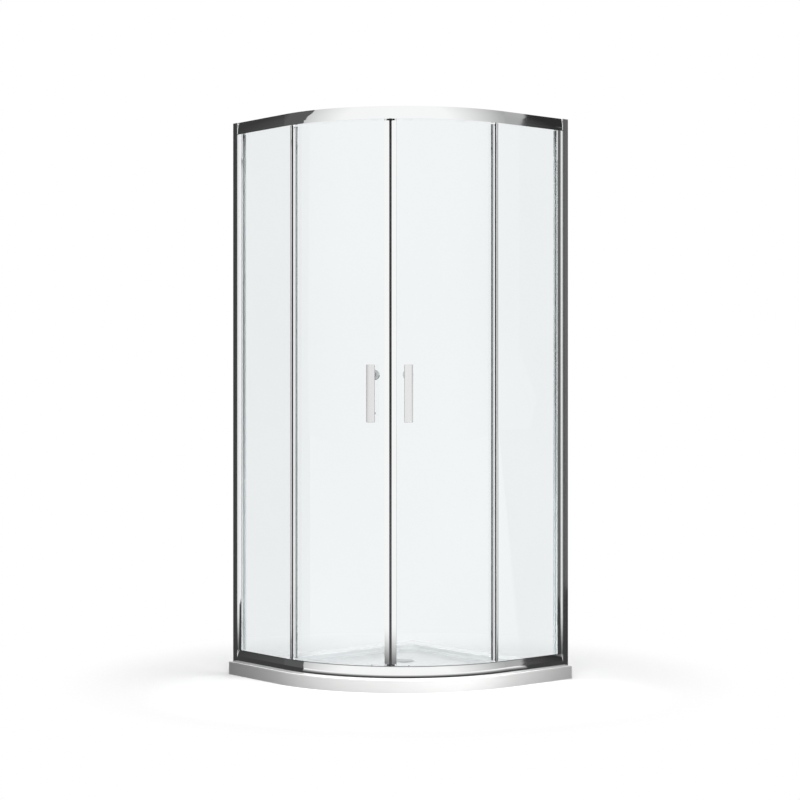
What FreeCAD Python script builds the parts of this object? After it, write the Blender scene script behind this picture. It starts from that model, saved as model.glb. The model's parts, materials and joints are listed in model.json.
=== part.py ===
import FreeCAD, Part
import math
import os
from types import SimpleNamespace

import Sketcher

# Quadrant shower enclosure: a tray, a frame with two fixed panels, and two curved sliding doors.
# Millimetres, +Z up. The origin is the middle of the tray's square, on its underside. The walls that it
# stands against are the planes at the tray's -X and +Y sides, and its bow faces +X and -Y.
# Left means the side along the -X wall. The right side is its mirror image across the bow's middle.

SIZES = {
    # Tray: a square with one corner swept to a quarter circle
    "tray_side": 850,
    "tray_radius": 550,
    "tray_height": 45,
    "wall_rim": 65,
    "front_rim": 82,
    "basin_depth": 20,
    "basin_corner_radius": 45,
    "basin_floor_radius": 9,
    "rim_edge_radius": 4,
    "apron_edge_radius": 3,
    "dish_radius": 170,
    "dish_depth": 4,
    # Waste, on the tray's diagonal
    "waste_inset": 264,
    "waste_hole_radius": 30,
    "waste_recess_radius": 52,
    "waste_recess_height": 9,
    "waste_gasket": 1,
    "flange_radius": 35,
    "flange_sink": 2.5,
    "flange_plate": 1.3,
    "flange_rim": 3,
    "flange_rim_width": 4.5,
    "neck_radius": 25.6,
    "neck_wall": 3.6,
    "neck_length": 7.5,
    "cover_edge": 1.2,
    "cover_crown": 2.5,
    "strainer_wall": 3,
    "strainer_depth": 7,
    "waste_clearance": 0.4,
    "cover_clearance": 1,
    "cover_seat_gap": 0.3,
    "body_flange_radius": 45,
    "body_flange": 4,
    "outlet_radius": 20,
    "outlet_wall": 2.5,
    # Frame heights and the rail's section, from its fascia inwards
    "enclosure_height": 1895,
    "rail_inset": 18,
    "rail_height": 42,
    "rail_plate": 2.5,
    "fascia_lean": 4.5,
    "fascia_flat": 8,
    "fascia_wall": 2,
    "lip_height": 2.4,
    "lip_step": 1.2,
    "glazing_gap": 3,
    "web_wall": 2,
    "web_height": 34,
    "track_wall": 2.5,
    "ledge_wall": 2.3,
    "track_sweep": 9.5,
    # Glass
    "glass_thickness": 6,
    "door_gap": 13.5,
    # Profiles on the walls
    "profile_reach": 25,
    "profile_depth": 25,
    "profile_wall": 1.5,
    "profile_back": 1.8,
    "profile_clearance": 0.3,
    "side_start": 5,
    "side_port_start": 26,
    "side_slot_start": 37,
    "side_reach": 50,
    "flange_start": 27.5,
    "flange_step": 4.3,
    "flange_proud": 0.3,
    "side_lip": 3.3,
    "wall_hole_radius": 2.6,
    "wall_hole_low": 120,
    "wall_hole_high": 155,
    "cap_plate": 1.5,
    "cap_plug": 6,
    # Gaskets and trims of the fixed panels
    "gasket_wall": 1,
    "gasket_seat": 14,
    "fixed_overrun": 29.6,
    "trim_cover": 5.8,
    "trim_wall": 1.2,
    "trim_bulge": 0.9,
    "trim_end": 1.5,
    "edge_seal_cover": 3.5,
    "edge_seal_wall": 1.2,
    "edge_lip": 2.5,
    "edge_lip_wall": 1.1,
    "trim_clearance": 0.5,
    # Screws
    "rail_screw_radius": 2.1,
    "rail_screw_head": 3.8,
    "rail_screw_cone": 1.7,
    "rail_screw_length": 60,
    "screw_clearance": 0.2,
    "thread_clearance": 0.05,
    "clamp_screw_radius": 1.75,
    "clamp_screw_head": 3.5,
    "clamp_head_height": 2,
    "clamp_screw_length": 6,
    "clamp_inset": 15,
    "clamp_low": 250,
    "clamp_high": 245,
    "screw_cap_wall": 1.1,
    "block_clearance": 0.2,
    # Rollers
    "wheel_radius": 8.7,
    "wheel_width": 6,
    "wheel_chamfer": 0.5,
    "wheel_lift_gap": 1.3,
    "run_gap": 0.3,
    "wheel_edge_gap": 0.2,
    "axle_radius": 2.95,
    "axle_fit": 0.05,
    "axle_head": 4,
    "axle_head_height": 1.5,
    "axle_side_gap": 0.5,
    "axle_seat_gap": 0.03,
    "carrier_length": 30,
    "carrier_wall": 2.5,
    "carrier_web": 2,
    "carrier_gap": 1,
    "carrier_boss": 6,
    "carrier_grip": 8.2,
    "tab_height": 7,
    "tab_width": 6,
    "pad_thickness": 1,
    "lead_roller_angle": 38,
    "trail_roller_angle": 15,
    "open_angle": 24,
    "stop_gap": 0.5,
    "stop_length": 15,
    "stop_height": 17,
    # Doors, with widths along their outer face
    "half_bow": 45,
    "trail_show": 1.4,
    "trail_wall": 1.2,
    "trail_bulge": 1.3,
    "trail_cover": 6.6,
    "trail_end": 7,
    "trail_end_gap": 0.3,
    "stile_wall": 2,
    "stile_width": 15.6,
    "stile_bulge": 1.2,
    "stile_end": 3,
    "stile_end_gap": 0.9,
    "stile_glue": 0.15,
    "magnet_wall": 1.4,
    "magnet_width": 3.8,
    "meeting_gap": 0.52,
    # Handle
    "handle_angle": 38.3,
    "handle_low": 893,
    "handle_length": 191,
    "handle_width": 29,
    "handle_bar": 10,
    "handle_crown": 4.5,
    "handle_edge_radius": 3,
    "handle_end_radius": 1.2,
    "post_height": 34,
    "post_radius": 6,
    "post_low": 924,
    "post_high": 1051,
    "bush_plate": 1.2,
    "bush_radius": 7,
    "washer_seat_gap": 0.02,
    "glass_hole_radius": 5,
    "sleeve_clearance": 0.2,
    "sleeve_depth": 5,
    "stud_radius": 2.5,
    "stud_clearance": 0.1,
    "stud_bite": 22,
    "knob_radius": 17.5,
    "knob_length": 24,
    "knob_neck": 8,
    "knob_seat": 10,
    "knob_seat_length": 5,
    "knob_taper": 5,
    "knob_edge_radius": 4,
    "knob_stud": 17,
    "cap_nut_radius": 6.5,
    "cap_nut_length": 8,
    "cap_nut_edge": 2.5,
    "cap_nut_stud": 5,
}


class Size:
    """A length or an angle, with the sheet expression that gives it."""

    def __init__(self, text, value):
        self.text = text
        self.value = value

    def __add__(self, other):
        other = as_size(other)
        return Size(f"({self.text} + {other.text})", self.value + other.value)

    def __radd__(self, other):
        return as_size(other) + self

    def __sub__(self, other):
        other = as_size(other)
        return Size(f"({self.text} - {other.text})", self.value - other.value)

    def __rsub__(self, other):
        return as_size(other) - self

    def __mul__(self, other):
        other = as_size(other)
        return Size(f"({self.text} * {other.text})", self.value * other.value)

    def __rmul__(self, other):
        return as_size(other) * self

    def __truediv__(self, other):
        other = as_size(other)
        return Size(f"({self.text} / {other.text})", self.value / other.value)

    def __neg__(self):
        return Size(f"(0 - {self.text})", -self.value)


def as_size(thing):
    """A plain number as a Size."""
    if isinstance(thing, Size):
        return thing
    return Size(repr(float(thing)), float(thing))


def sine(angle):
    """The sine of an angle in degrees."""
    return Size(f"sin({angle.text} * 1 deg)", math.sin(math.radians(angle.value)))


def bulge_radius(chord, bulge):
    """The radius of an arc that stands out from its chord by a bulge."""
    return (chord * chord / 4 + bulge * bulge) / (2 * bulge)


def lean_radius(rise, lean):
    """The radius of an arc that is upright at one end and has leant over by a lean at the other."""
    return (rise * rise + lean * lean) / (2 * lean)


def arc_angle(length):
    """The angle in degrees that a length along a door's outer face covers."""
    return length / door_outer * math.degrees(1)


doc = FreeCAD.newDocument("ShowerEnclosure")
sheet = doc.addObject("Spreadsheet::Sheet", "Dims")
d = SimpleNamespace()
for row, (alias, number) in enumerate(SIZES.items(), start=1):
    sheet.set(f"A{row}", alias)
    sheet.set(f"B{row}", str(number))
    sheet.setAlias(f"B{row}", alias)
    setattr(d, alias, Size(f"Dims.{alias}", float(number)))
doc.recompute()

# Plan: half the square, the straight stretch beside each wall, and the bow's axis
half = d.tray_side / 2
straight = d.tray_side - d.tray_radius
bow_x = straight - half
bow_y = half - straight

# Heights
top = d.tray_height + d.enclosure_height
middle = d.tray_height + d.enclosure_height / 2
basin_floor = d.tray_height - d.basin_depth

# The rail's section: radii from the bow's axis, outermost first
rail_outer = d.tray_radius - d.rail_inset
fascia_back = rail_outer - d.fascia_lean
pocket_outer = fascia_back - d.fascia_wall
fixed_outer = pocket_outer - d.glazing_gap
fixed_inner = fixed_outer - d.glass_thickness
web_outer = fixed_inner - d.glazing_gap
web_inner = web_outer - d.web_wall
door_outer = fixed_inner - d.door_gap
door_inner = door_outer - d.glass_thickness
clip_face = door_outer + d.pad_thickness
clip_outer = clip_face + d.carrier_wall
clip_back = door_inner - d.pad_thickness
clip_inner = clip_back - d.carrier_wall
ledge_outer = clip_face - d.track_sweep
wheel_outer = ledge_outer - d.wheel_edge_gap
wheel_inner = wheel_outer - d.wheel_width
channel_inner = wheel_inner - d.track_sweep
rail_inner = channel_inner - d.track_wall

# The rail's section: heights from the outside of its plate
fascia_top = d.rail_height - d.lip_height
axle_height = d.rail_plate + d.wheel_lift_gap + d.wheel_radius
track_face = axle_height + d.wheel_radius + d.run_gap
ledge_top = track_face + d.ledge_wall
clip_base = ledge_top + d.carrier_gap
pad_base = clip_base + d.carrier_web
glass_edge = pad_base + d.pad_thickness
clip_top = glass_edge + d.carrier_grip
door_low = d.tray_height + glass_edge
door_high = top - glass_edge

# Places across a fixed panel, measured from the tray's front edge, and along it, from the wall
pane_front = d.tray_radius - fixed_outer
pane_back = d.tray_radius - fixed_inner
pane_middle = (pane_front + pane_back) / 2
pane_start = d.side_slot_start + d.gasket_wall
pane_end = straight + d.fixed_overrun
port_inset = (d.side_port_start + d.side_slot_start) / 2
profile_front = pane_middle - d.profile_depth / 2
profile_rear = pane_middle + d.profile_depth / 2
side_front = profile_front + d.profile_wall + d.profile_clearance
side_rear = profile_rear - d.profile_wall - d.profile_clearance
slot_front = side_front + d.profile_wall
slot_rear = side_rear - d.profile_wall
lip_front = side_front + d.side_lip
clear_low = d.tray_height + d.rail_height
clear_high = top - d.rail_height

# Heights of the holes in the profiles, from the tray
wall_hole_step = (d.enclosure_height - d.wall_hole_low - d.wall_hole_high) / 3
clamp_step = (d.enclosure_height - d.clamp_low - d.clamp_high) / 2

# Places along a door, as angles from the left end of the bow
trail_stop = d.fixed_overrun + d.trim_end + d.trail_show
door_start = trail_stop - d.trail_cover
trail_width = d.trail_cover + d.trail_end
stile_stop = d.meeting_gap / 2 + d.magnet_width
slot_stop = stile_stop + d.stile_end
trail_angle = arc_angle(trail_stop - trail_width / 2)
door_start_angle = arc_angle(door_start)
door_stop_angle = d.half_bow - arc_angle(slot_stop + d.stile_end_gap)
stile_angle = d.half_bow - arc_angle(stile_stop + d.stile_width / 2)
carrier_half_angle = arc_angle(d.carrier_length / 2)
tab_half_angle = arc_angle(d.tab_width / 2)

# Handle, radii from the bow's axis
bush_outer = door_outer + d.bush_plate
washer_face = door_inner - d.bush_radius * d.bush_radius / (2 * door_inner) - d.washer_seat_gap
washer_inner = washer_face - d.bush_plate
bar_back = bush_outer + d.post_height
knob_tip = washer_inner - d.knob_length
cap_nut_tip = washer_inner - d.cap_nut_length
stud_tip = bush_outer + d.stud_bite

nodes = {}


def bind(thing, path, what):
    """Bind one property to a size."""
    thing.setExpression(path, as_size(what).text)


def place(thing, x, y, z, turn=0):
    """Bind a piece's place and its turn about the vertical, a positive angle."""
    turn = as_size(turn)
    rotation = FreeCAD.Rotation(FreeCAD.Vector(0, 0, 1), turn.value)
    thing.Placement = FreeCAD.Placement(FreeCAD.Vector(), rotation)
    bind(thing, "Placement.Base.x", x)
    bind(thing, "Placement.Base.y", y)
    bind(thing, "Placement.Base.z", z)
    bind(thing, "Placement.Rotation.Angle", turn)


def place_on_bow(thing, angle, z=0):
    """Put a piece modelled with +X outwards at an angle along the bow."""
    place(thing, bow_x, bow_y, z, 270 + angle)


def place_on_panel(thing, along, across, z):
    """Put a piece beside the left wall: along the panel from the wall, across from the tray's edge."""
    place(thing, along - half, across - half, z)


def new_body(label):
    """An empty body with its label."""
    body = doc.addObject("PartDesign::Body", label)
    body.Label = label
    return body


def new_sketch(body, role, lift=None):
    """A sketch on one of the body's own origin planes, lifted along its normal where asked."""
    sketch = body.newObject("Sketcher::SketchObject", body.Name + "_sketch")
    plane = [feature for feature in body.Origin.OriginFeatures if feature.Role == role][0]
    sketch.AttachmentSupport = [(plane, "")]
    sketch.MapMode = "FlatFace"
    if lift is not None:
        bind(sketch, "AttachmentOffset.Base.z", lift)
    return sketch


def hold(sketch, kind, where, what):
    """Add a driving constraint bound to a size."""
    what = as_size(what)
    index = sketch.addConstraint(Sketcher.Constraint(kind, *where, what.value))
    sketch.setExpression(f"Constraints[{index}]", what.text)


def arc_between(start, end, radius):
    """The counterclockwise arc of less than half a turn from start to end."""
    chord = end - start
    rise = math.sqrt(max(radius * radius - chord.Length * chord.Length / 4, 0))
    centre = (start + end) * 0.5 + FreeCAD.Vector(-chord.y, chord.x, 0).normalize() * rise
    circle = Part.Circle(centre, FreeCAD.Vector(0, 0, 1), radius)
    return Part.ArcOfCircle(circle, circle.parameter(start), circle.parameter(end))


def outline(sketch, points, arcs=None):
    """A closed counterclockwise outline; arcs gives a radius to the stretch that starts at an index."""
    arcs = arcs or {}
    first = sketch.GeometryCount
    sized = [(as_size(x), as_size(y)) for x, y in points]
    corners = [FreeCAD.Vector(x.value, y.value, 0) for x, y in sized]
    count = len(corners)
    for index in range(count):
        start = corners[index]
        end = corners[(index + 1) % count]
        if index in arcs:
            sketch.addGeometry(arc_between(start, end, as_size(arcs[index]).value))
        else:
            sketch.addGeometry(Part.LineSegment(start, end))
    for index in range(count):
        after = first + (index + 1) % count
        sketch.addConstraint(Sketcher.Constraint("Coincident", first + index, 2, after, 1))
    for index, (x, y) in enumerate(sized):
        hold(sketch, "DistanceX", (-1, 1, first + index, 1), x)
        hold(sketch, "DistanceY", (-1, 1, first + index, 1), y)
    for index, radius in arcs.items():
        hold(sketch, "Radius", (first + index,), radius)


def rectangle(sketch, x0, x1, y0, y1):
    """A rectangle between two corners."""
    outline(sketch, [(x0, y0), (x1, y0), (x1, y1), (x0, y1)])


def circle(sketch, x, y, radius):
    """A circle held at its centre."""
    sized_x = as_size(x)
    sized_y = as_size(y)
    centre = FreeCAD.Vector(sized_x.value, sized_y.value, 0)
    index = sketch.addGeometry(Part.Circle(centre, FreeCAD.Vector(0, 0, 1), radius.value))
    hold(sketch, "DistanceX", (-1, 1, index, 3), sized_x)
    hold(sketch, "DistanceY", (-1, 1, index, 3), sized_y)
    hold(sketch, "Radius", (index,), radius)


def feature(body, kind, sketch, backwards=False):
    """A sketch-based feature of a body."""
    made = body.newObject("PartDesign::" + kind, body.Name + "_" + kind.lower())
    made.Profile = sketch
    made.Reversed = backwards
    return made


def pad(body, sketch, length, backwards=False):
    """Extrude a sketch."""
    made = feature(body, "Pad", sketch, backwards)
    bind(made, "Length", length)
    return made


def pocket(body, sketch, depth, backwards=False):
    """Cut a sketch into a body, and say so if it cut nothing."""
    doc.recompute()
    before = body.Shape.Volume
    made = feature(body, "Pocket", sketch, backwards)
    bind(made, "Length", depth)
    doc.recompute()
    if body.Shape.Volume > before - 1e-6:
        raise RuntimeError(f"{body.Label}: a pocket cut nothing")
    return made


def sweep(body, sketch, angle, backwards=False, kind="Revolution"):
    """Turn a (radius, height) sketch about the vertical axis through an angle."""
    made = feature(body, kind, sketch, backwards)
    made.ReferenceAxis = (sketch, ["V_Axis"])
    bind(made, "Angle", angle)
    return made


def sweep_both_ways(body, sketch, ahead, behind):
    """Turn a (radius, height) sketch about the vertical axis, ahead of its plane and behind it."""
    made = sweep(body, sketch, ahead)
    made.Type = "TwoAngles"
    bind(made, "Angle2", behind)


def bow_piece(label, points, angle, ahead, behind=None, backwards=False):
    """A (radius, height) section swept along the bow from an angle, onwards and, where asked, behind it."""
    body = new_body(label)
    sketch = new_sketch(body, "XZ_Plane")
    outline(sketch, points)
    if behind is None:
        sweep(body, sketch, ahead, backwards)
    else:
        sweep_both_ways(body, sketch, ahead, behind)
    place_on_bow(body, angle)
    return body


def turned_upright(label, points, arcs=None):
    """A (radius, height) profile turned about the vertical."""
    body = new_body(label)
    sketch = new_sketch(body, "XZ_Plane")
    outline(sketch, points, arcs)
    sweep(body, sketch, 360)
    return body


def turned_outwards(label, points, angle, z, arcs=None):
    """A (distance from the bow's axis, radius) profile turned about an outward line at a height."""
    body = new_body(label)
    sketch = new_sketch(body, "XZ_Plane")
    outline(sketch, points, arcs)
    made = feature(body, "Revolution", sketch)
    made.ReferenceAxis = (sketch, ["H_Axis"])
    bind(made, "Angle", 360)
    place_on_bow(body, angle, z)
    return body


def turned_across(label, points, along, across, z):
    """A (radius, distance) profile turned about a line across the left panel."""
    body = new_body(label)
    sketch = new_sketch(body, "XY_Plane")
    outline(sketch, points)
    sweep(body, sketch, 360)
    place_on_panel(body, along, across, z)
    return body


def panel_extrusion(label, points, low, high, arcs=None):
    """An upright extrusion beside the left wall, from its plan outline."""
    body = new_body(label)
    sketch = new_sketch(body, "XY_Plane")
    outline(sketch, points, arcs)
    pad(body, sketch, high - low)
    place_on_panel(body, 0, 0, low)
    return body


def fillet(body, base, chosen, radius):
    """Round the edges of a feature that a test picks."""
    doc.recompute()
    names = [f"Edge{n}" for n, edge in enumerate(base.Shape.Edges, start=1) if chosen(edge)]
    made = body.newObject("PartDesign::Fillet", body.Name + "_fillet")
    made.Base = (base, names)
    bind(made, "Radius", radius)
    return made


def is_upright(edge):
    """True for a vertical straight edge."""
    box = edge.BoundBox
    return box.ZLength > 1e-4 and box.XLength < 1e-4 and box.YLength < 1e-4


def is_level_at(edge, height):
    """True for an edge that lies at one height."""
    box = edge.BoundBox
    return box.ZLength < 1e-4 and abs(box.ZMin - height) < 1e-4


def mirrored(source, label, normal, height=0):
    """The mirror image of a piece in a plane through a height on the origin's axis."""
    image = doc.addObject("Part::Mirroring", label)
    image.Label = label
    image.Source = source
    image.Normal = normal
    bind(image, "Base.z", height)
    return image


def upper_copy(source):
    """A rail piece turned over, for the top rail."""
    return mirrored(source, source.Label + "_upper", FreeCAD.Vector(0, 0, 1), middle)


def right_copy(source, label):
    """A left piece as the right side has it."""
    return mirrored(source, label, FreeCAD.Vector(1, 1, 0))


def group(label, members):
    """Separate solids kept as one piece group."""
    made = doc.addObject("Part::Compound", label)
    made.Label = label
    made.Links = members
    return made


def node(thing, label=None):
    """Hand a finished piece to the list that is written out."""
    if label:
        thing.Label = label
    nodes[thing.Label] = thing
    return thing


def both_sides(thing, name):
    """Write out a left piece and its right mirror image."""
    node(thing, "left_" + name)
    node(right_copy(thing, "right_" + name))


def four_corners(label, piece):
    """Write out a lower left piece as a group at the four rail ends."""
    left = [piece, upper_copy(piece)]
    right = [right_copy(source, source.Label + "_right") for source in left]
    node(group(label, left + right))


def quadrant_outline(sketch, wall_gap, front_gap, corner_x, corner_y):
    """The tray's plan drawn in by a gap at the walls and at the front, from a local origin."""
    left = wall_gap - half - corner_x
    front = front_gap - half - corner_y
    right = half - front_gap - corner_x
    rear = half - wall_gap - corner_y
    bow_left = bow_x - corner_x
    bow_rear = bow_y - corner_y
    points = [(left, front), (bow_left, front), (right, bow_rear), (right, rear), (left, rear)]
    outline(sketch, points, {1: d.tray_radius - front_gap})


def make_tray():
    """The tray, modelled about the waste's axis: apron, basin, dished floor, waste hole and recess."""
    waste_x = d.waste_inset - half
    waste_y = half - d.waste_inset
    body = new_body("shower_tray")
    plan = new_sketch(body, "XY_Plane")
    quadrant_outline(plan, 0, 0, waste_x, waste_y)
    slab = pad(body, plan, d.tray_height)
    apron = fillet(body, slab, lambda edge: is_level_at(edge, d.tray_height.value), d.apron_edge_radius)

    basin = new_sketch(body, "XY_Plane", d.tray_height)
    quadrant_outline(basin, d.wall_rim, d.front_rim, waste_x, waste_y)
    doc.recompute()
    slab_uprights = {round(edge.CenterOfMass.x, 3) for edge in apron.Shape.Edges if is_upright(edge)}
    hollow = pocket(body, basin, d.basin_depth)

    def is_basin_corner(edge):
        return is_upright(edge) and round(edge.CenterOfMass.x, 3) not in slab_uprights and \
            abs(edge.BoundBox.ZMin - basin_floor.value) < 1e-4
    corners = fillet(body, hollow, is_basin_corner, d.basin_corner_radius)
    floor = fillet(body, corners, lambda edge: is_level_at(edge, basin_floor.value), d.basin_floor_radius)

    inner_reach = half.value - min(d.wall_rim.value, d.front_rim.value) + 1e-3

    def is_basin_rim(edge):
        box = edge.BoundBox
        span = max(abs(box.XMin + waste_x.value), abs(box.XMax + waste_x.value),
                   abs(box.YMin + waste_y.value), abs(box.YMax + waste_y.value))
        return is_level_at(edge, d.tray_height.value) and span < inner_reach
    fillet(body, floor, is_basin_rim, d.rim_edge_radius)

    dish_low = basin_floor - d.dish_depth
    seat = dish_low - d.flange_sink
    seat_radius = d.flange_radius + d.waste_clearance
    profile = new_sketch(body, "XZ_Plane")
    outline(profile, [
        (0, -d.waste_recess_height), (d.waste_recess_radius, -d.waste_recess_height),
        (d.waste_recess_radius, d.waste_recess_height), (d.waste_hole_radius, d.waste_recess_height),
        (d.waste_hole_radius, seat), (seat_radius, seat), (seat_radius, dish_low),
        (d.dish_radius, basin_floor), (0, basin_floor + d.dish_depth)])
    sweep(body, profile, 360, kind="Groove")
    place(body, waste_x, waste_y, 0)
    node(body)


def make_waste():
    """Flange, gasket, body and lift-out cover of the waste, about its axis."""
    seat = basin_floor - d.dish_depth - d.flange_sink
    underside = seat + d.waste_gasket
    plate_top = underside + d.flange_plate
    rim_top = underside + d.flange_rim
    rim_inner = d.flange_radius - d.flange_rim_width
    neck_inner = d.neck_radius - d.neck_wall
    neck_low = underside - d.neck_length
    edge = d.waste_gasket
    flange = turned_upright("waste_flange", [
        (neck_inner, neck_low), (d.neck_radius, neck_low), (d.neck_radius, underside),
        (d.flange_radius, underside), (d.flange_radius, rim_top - edge), (d.flange_radius - edge, rim_top),
        (rim_inner, rim_top), (rim_inner, plate_top), (neck_inner, plate_top)])
    gasket_inner = d.neck_radius + d.waste_clearance
    gasket = turned_upright("waste_gasket", [
        (gasket_inner, seat), (d.flange_radius, seat),
        (d.flange_radius, underside), (gasket_inner, underside)])

    flange_low = d.waste_recess_height - d.body_flange
    outlet_inner = d.outlet_radius - d.outlet_wall
    socket = d.neck_radius + d.waste_clearance
    collar = d.waste_hole_radius - d.waste_clearance
    collar_top = seat - d.waste_gasket
    body = turned_upright("waste_body", [
        (outlet_inner, 0), (d.outlet_radius, 0), (d.outlet_radius, flange_low),
        (d.body_flange_radius, flange_low), (d.body_flange_radius, d.waste_recess_height),
        (collar, d.waste_recess_height), (collar, collar_top), (socket, collar_top),
        (socket, d.waste_recess_height), (outlet_inner, d.waste_recess_height)])

    cover_low = plate_top + d.cover_seat_gap
    cover_radius = rim_inner - d.cover_clearance
    cover_edge = cover_low + d.cover_edge
    crown = cover_edge + d.cover_crown
    strainer = neck_inner - d.cover_clearance
    strainer_inner = strainer - d.strainer_wall
    crown_radius = (cover_radius * cover_radius + d.cover_crown * d.cover_crown) / (2 * d.cover_crown)
    cover = turned_upright("waste_cover", [
        (strainer_inner, cover_low - d.strainer_depth), (strainer, cover_low - d.strainer_depth),
        (strainer, cover_low), (cover_radius, cover_low), (cover_radius, cover_edge), (0, crown),
        (0, cover_low), (strainer_inner, cover_low)], {4: crown_radius})
    for piece in (flange, gasket, body, cover):
        place(piece, d.waste_inset - half, half - d.waste_inset, 0)
        node(piece)


def make_wall_profile():
    """The channel screwed to the wall, with its wall holes and the holes of the clamp screws."""
    reach = d.profile_reach
    back = d.profile_back
    front = profile_front + d.profile_wall
    rear = profile_rear - d.profile_wall
    height = d.enclosure_height - d.cap_plate
    body = panel_extrusion("left_wall_profile", [
        (0, profile_front), (reach, profile_front), (reach, front), (back, front), (back, rear),
        (reach, rear), (reach, profile_rear), (0, profile_rear)], d.tray_height, d.tray_height + height)
    wall_holes = new_sketch(body, "YZ_Plane")
    for count in range(4):
        circle(wall_holes, pane_middle, d.wall_hole_low + count * wall_hole_step, d.wall_hole_radius)
    pocket(body, wall_holes, back * 2, backwards=True)
    clamp_holes = new_sketch(body, "XZ_Plane", -profile_rear)
    for count in range(3):
        height = d.clamp_low + count * clamp_step
        circle(clamp_holes, d.clamp_inset, height, d.clamp_screw_radius + d.screw_clearance)
    pocket(body, clamp_holes, d.profile_wall * 2, backwards=True)
    both_sides(body, "wall_profile")

    cap = new_body("left_profile_cap")
    plate = new_sketch(cap, "XY_Plane", d.cap_plug)
    rectangle(plate, 0, reach, profile_front, profile_rear)
    pad(cap, plate, d.cap_plate)
    plug = new_sketch(cap, "XY_Plane")
    plug_inset = d.profile_clearance
    rectangle(plug, back + plug_inset, reach - plug_inset, front + plug_inset, rear - plug_inset)
    pad(cap, plug, d.cap_plug)
    place_on_panel(cap, 0, 0, top - d.cap_plate - d.cap_plug)
    node(group("profile_top_caps", [cap, right_copy(cap, "right_profile_cap")]))


def make_side_profile():
    """The profile that slides in the wall channel, holds the fixed glass and takes the rails' screws."""
    flange_width = d.side_reach - d.flange_start
    flange_low = profile_front + d.flange_step
    flange_high = profile_front + d.flange_proud
    rise = flange_low - flange_high
    flange_radius = (flange_width * flange_width + rise * rise) / (2 * rise)
    body = new_body("left_side_profile")
    plan = new_sketch(body, "XY_Plane")
    outline(plan, [
        (d.side_start, side_front), (d.flange_start, side_front), (d.flange_start, flange_low),
        (d.side_reach, flange_high), (d.side_reach, lip_front),
        (d.side_slot_start, lip_front), (d.side_slot_start, slot_rear), (d.side_reach, slot_rear),
        (d.side_reach, side_rear), (d.side_start, side_rear), (d.side_start, slot_rear),
        (d.side_port_start, slot_rear), (d.side_port_start, slot_front), (d.side_start, slot_front)],
        {2: flange_radius})
    circle(plan, port_inset, pane_middle, d.rail_screw_radius + d.thread_clearance)
    pad(body, plan, clear_high - clear_low)
    place_on_panel(body, 0, 0, clear_low)
    clamp_holes = new_sketch(body, "XZ_Plane", -side_rear)
    for count in range(3):
        height = d.clamp_low + count * clamp_step - d.rail_height
        circle(clamp_holes, d.clamp_inset, height, d.clamp_screw_radius + d.thread_clearance)
    pocket(body, clamp_holes, d.profile_wall * 2, backwards=True)
    both_sides(body, "side_profile")


def make_clamp_screws():
    """Pan-head screws that hold the side profile in the wall channel, and their snap-on caps."""
    screws = []
    caps = []
    head = d.clamp_screw_head
    head_top = d.clamp_head_height
    cap_inner = head + d.screw_clearance
    cap_outer = cap_inner + d.screw_cap_wall
    cap_roof = head_top + d.screw_clearance
    cap_top = cap_roof + d.screw_cap_wall
    for count in range(3):
        height = d.tray_height + d.clamp_low + count * clamp_step
        screws.append(turned_across(f"clamp_screw_{count}", [
            (0, -d.clamp_screw_length), (d.clamp_screw_radius, -d.clamp_screw_length),
            (d.clamp_screw_radius, 0), (head, 0), (head, head_top), (0, head_top)],
            d.clamp_inset, profile_rear, height))
        caps.append(turned_across(f"screw_cap_{count}", [
            (cap_inner, 0), (cap_outer, 0), (cap_outer, cap_roof), (cap_inner, cap_top), (0, cap_top),
            (0, cap_roof), (cap_inner, cap_roof)], d.clamp_inset, profile_rear, height))
    for label, left in (("clamp_screws", screws), ("screw_caps", caps)):
        right = [right_copy(source, source.Label + "_right") for source in left]
        node(group(label, left + right))


def make_rail_blank(label, front, lip_outer, curve):
    """A rail before its screw holes; front is the outline of its face, and curve the radius in it."""
    section = [(rail_inner, 0)] + front + [
        (lip_outer, fascia_top),
        (lip_outer, d.rail_height), (pocket_outer, d.rail_height), (pocket_outer, d.rail_plate),
        (web_outer, d.rail_plate), (web_outer, d.web_height), (web_inner, d.web_height),
        (web_inner, d.rail_plate), (channel_inner, d.rail_plate), (channel_inner, track_face),
        (ledge_outer, track_face), (ledge_outer, ledge_top), (rail_inner, ledge_top)]
    run = straight - d.profile_reach
    body = new_body(label)
    start = new_sketch(body, "XZ_Plane")
    outline(start, section, curve)
    sweep(body, start, 2 * d.half_bow)
    pad(body, start, run)
    end = new_sketch(body, "YZ_Plane")
    outline(end, section, curve)
    pad(body, end, run, backwards=True)
    place_on_bow(body, 0, d.tray_height)
    return body


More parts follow.
